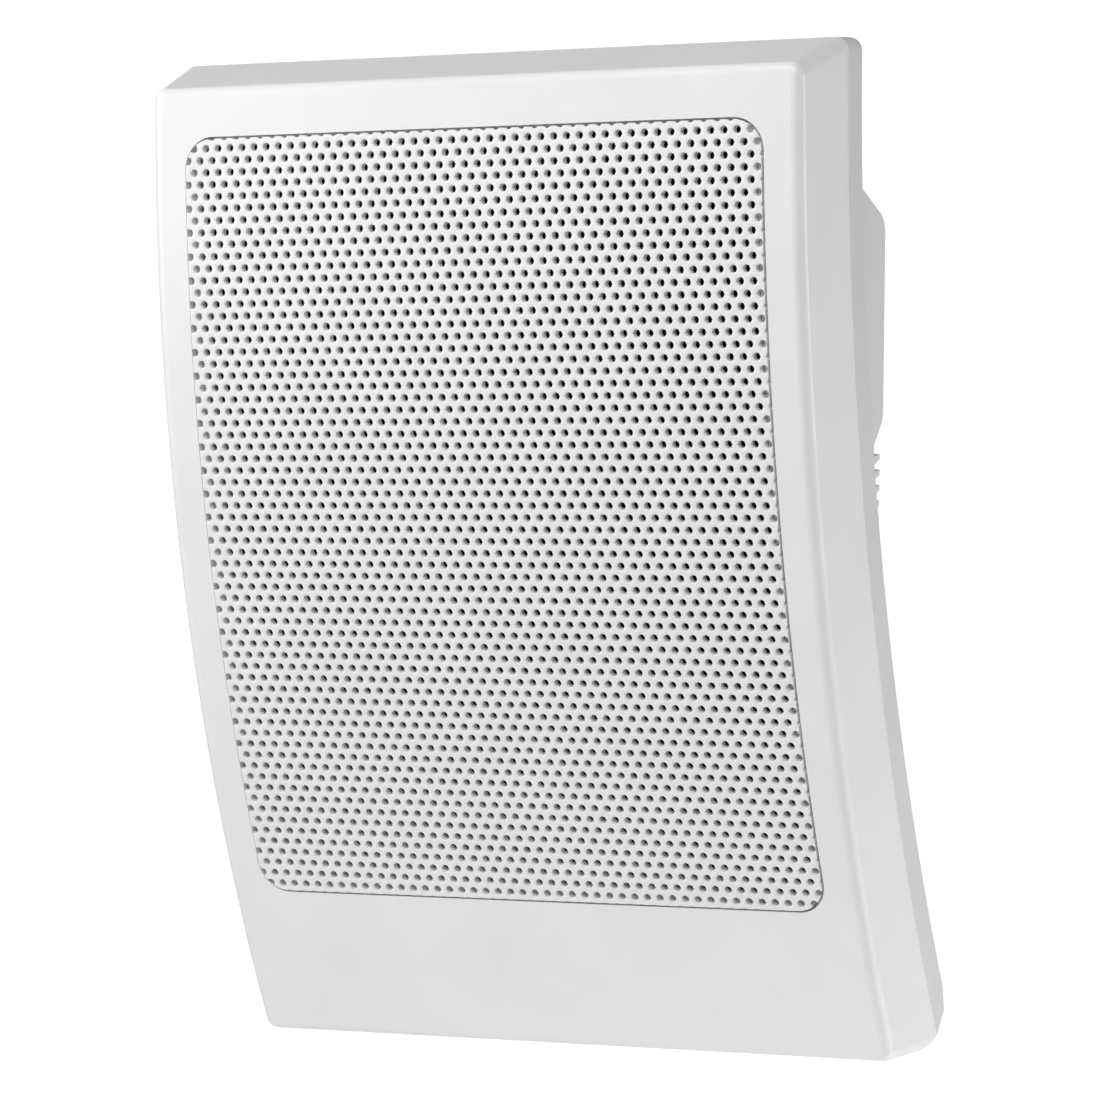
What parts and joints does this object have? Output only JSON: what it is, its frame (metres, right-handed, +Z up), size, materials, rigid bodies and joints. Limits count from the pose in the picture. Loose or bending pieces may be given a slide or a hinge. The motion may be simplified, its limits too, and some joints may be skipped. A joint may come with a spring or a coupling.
{
  "type": "surface mount speaker",
  "caption": "White cabinet loudspeaker with a bowed front, a flush perforated grille and a raised rear box that hangs it on a wall or ceiling, holding a cone driver and a line transformer.",
  "frame": {"origin": "on the wall plane, midway between the entry holes of the two hanging keyholes", "axes": "+X to the right seen from the front, +Y into the wall, +Z up"},
  "size_m": [0.1854, 0.0979, 0.2536],
  "materials": {
    "white_housing": "fine satin moulded plastic, white",
    "white_grille": "white moulded plastic, finely perforated",
    "black_board": "black painted fibreboard",
    "black_rubber": "soft black rubber",
    "black_steel": "black painted pressed steel",
    "black_paper": "black pressed paper pulp",
    "woven_cloth": "resin treated woven cloth",
    "copper_wire": "enamelled copper wire",
    "plated_steel": "zinc plated steel",
    "ferrite": "dark ferrite or varnished laminations",
    "brown_board": "brown phenolic board",
    "grey_plastic": "pale grey moulded plastic",
    "lead_sleeve": "red insulated wire"
  },
  "bodies": {
    "cabinet": {"front_frame": "white_housing", "grille": "white_grille", "rear_shell": "white_housing", "baffle_plate": "black_board", "driver_gasket": "black_rubber", "driver_basket": "black_steel", "driver_surround": "black_rubber", "driver_spider": "woven_cloth", "driver_top_plate": "plated_steel", "driver_magnet": "ferrite", "driver_yoke": "plated_steel", "driver_terminal_strip": "brown_board", "transformer_core": "ferrite", "transformer_bobbin": "brown_board", "transformer_winding": "copper_wire", "transformer_clamp": "plated_steel", "terminal_block": "grey_plastic", "terminal_screws": "plated_steel", "driver_leads": "lead_sleeve", "supply_leads": "lead_sleeve", "cable_grommet": "black_rubber", "baffle_screws": "plated_steel", "driver_screws": "plated_steel", "shell_screws": "plated_steel", "inner_screws": "plated_steel"},
    "diaphragm": {"driver_cone": "black_paper", "driver_dust_cap": "black_paper", "voice_coil": "copper_wire"}
  },
  "joints": [
    {"name": "cone_travel", "type": "slide", "parent": "cabinet", "child": "diaphragm", "axis": [0, 0.9724, 0.2334], "range_m": [-0.0025, 0.0025], "stiffness_N_per_m": 1200, "deforming": ["driver_surround", "driver_spider"]}
  ]
}
